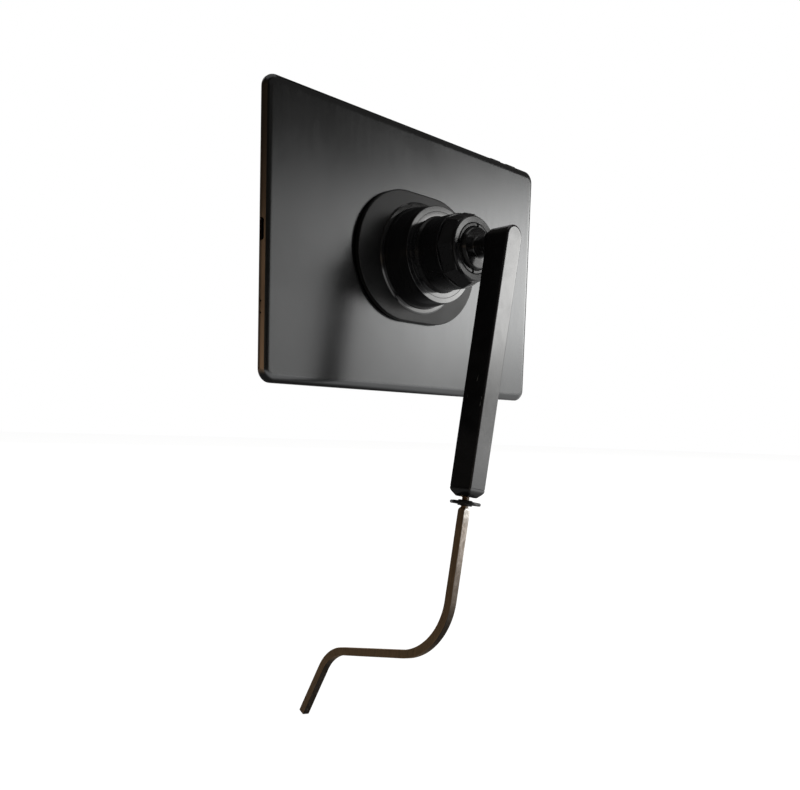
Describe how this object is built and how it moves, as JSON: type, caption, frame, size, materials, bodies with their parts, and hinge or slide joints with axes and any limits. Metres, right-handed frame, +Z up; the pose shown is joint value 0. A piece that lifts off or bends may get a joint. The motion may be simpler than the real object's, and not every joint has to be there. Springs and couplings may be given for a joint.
{
  "type": "tablet holder",
  "caption": "Tablet on a ball-jointed holder: magnetic plate, round hub, faceted collar nut, straight arm and a twice-bent square stem for an instrument's lyre socket.",
  "frame": {"origin": "centre of the flat side of the stem's tail, where a lyre socket's screw presses", "axes": "+Z up; the tablet's screen faces -Y and its back +Y; the arm leans so that its lower end is further towards +X"},
  "size_m": [0.2521, 0.1399, 0.4175],
  "materials": {
    "bare_steel": "dark bare steel, worn lighter on its outer face",
    "nut_black": "black, slightly rough",
    "anodised_black": "black anodised, smooth and glossy",
    "plug_black": "black, moulded",
    "ball_black": "black anodised, polished ball",
    "brass": "machined",
    "nylon": "dark nylon",
    "screw_steel": "plated",
    "plate_black": "black anodised, satin, with a fine bright edge",
    "silicone": "soft, matte",
    "housing_grey": "dark grey anodised, fine satin",
    "button_grey": "dark grey anodised, fine satin",
    "screen_glass": "polished, black behind",
    "panel_dark": "laminated display layers",
    "battery_foil": "foil pouch",
    "board_green": "circuit board",
    "magnet_steel": "nickel plated",
    "port_black": "moulded black"
  },
  "bodies": {
    "stem": {"stem_bar": "bare_steel"},
    "jam_nut": {"jam_nut": "nut_black"},
    "arm": {"arm_tube": "anodised_black", "end_plug": "plug_black", "head_insert": "brass", "lower_insert": "brass", "ball_stud": "ball_black"},
    "liner_front": {"ball_liner_front": "nylon"},
    "liner_rear": {"ball_liner_rear": "nylon"},
    "head": {"socket": "anodised_black", "socket_screw": "screw_steel", "hub_body": "anodised_black", "hub_screw_1": "screw_steel", "hub_screw_2": "screw_steel", "hub_screw_3": "screw_steel", "hub_screw_4": "screw_steel", "base_plate": "plate_black", "plate_magnet_1": "magnet_steel", "plate_magnet_2": "magnet_steel", "plate_magnet_3": "magnet_steel", "plate_magnet_4": "magnet_steel", "plate_magnet_5": "magnet_steel", "plate_magnet_6": "magnet_steel", "face_pad": "silicone"},
    "collar": {"collar_nut": "anodised_black"},
    "tablet": {"tablet_housing": "housing_grey", "front_glass": "screen_glass", "display_panel": "panel_dark", "battery_left": "battery_foil", "battery_right": "battery_foil", "logic_board": "board_green", "tablet_magnet_left": "magnet_steel", "tablet_magnet_right": "magnet_steel", "port_connector": "port_black", "front_camera": "port_black", "speaker_1": "port_black", "speaker_2": "port_black", "speaker_3": "port_black", "speaker_4": "port_black"},
    "power_button": {"power_button": "button_grey"},
    "volume_up_button": {"volume_up_button": "button_grey"},
    "volume_down_button": {"volume_down_button": "button_grey"}
  },
  "joints": [
    {"name": "jam_nut_turn", "type": "hinge", "parent": "stem", "child": "jam_nut", "pos_m": [-0.02773, 0.12325, 0.15367], "axis": [-0.1599, 0, 0.9871], "range_deg": [0, 180]},
    {"name": "arm_swivel", "type": "hinge", "parent": "stem", "child": "arm", "pos_m": [-0.02876, 0.12325, 0.16009], "axis": [-0.1599, 0, 0.9871], "range_deg": [-90, 90]},
    {"name": "ball_tilt", "type": "hinge", "parent": "arm", "child": "liner_front", "pos_m": [-0.05403, 0.09715, 0.31605], "axis": [1, 0, 0], "range_deg": [-22, 22]},
    {"name": "ball_pan", "type": "hinge", "parent": "liner_front", "child": "liner_rear", "pos_m": [-0.05403, 0.09715, 0.31605], "axis": [0, 0, 1], "range_deg": [-22, 22]},
    {"name": "head_spin", "type": "hinge", "parent": "liner_rear", "child": "head", "pos_m": [-0.05403, 0.09715, 0.31605], "axis": [0, 1, 0], "continuous": true},
    {"name": "collar_turn", "type": "hinge", "parent": "head", "child": "collar", "pos_m": [-0.05403, 0.09715, 0.31605], "axis": [0, 1, 0], "range_deg": [0, 90]},
    {"name": "tablet_release", "type": "slide", "parent": "head", "child": "tablet", "axis": [0, -1, 0], "range_m": [0, 0.015]},
    {"name": "power_press", "type": "slide", "parent": "tablet", "child": "power_button", "axis": [1, 0, 0], "range_m": [0, 0.00035], "stiffness_N_per_m": 800},
    {"name": "volume_up_press", "type": "slide", "parent": "tablet", "child": "volume_up_button", "axis": [0, 0, -1], "range_m": [0, 0.00035], "stiffness_N_per_m": 800},
    {"name": "volume_down_press", "type": "slide", "parent": "tablet", "child": "volume_down_button", "axis": [0, 0, -1], "range_m": [0, 0.00035], "stiffness_N_per_m": 800}
  ]
}
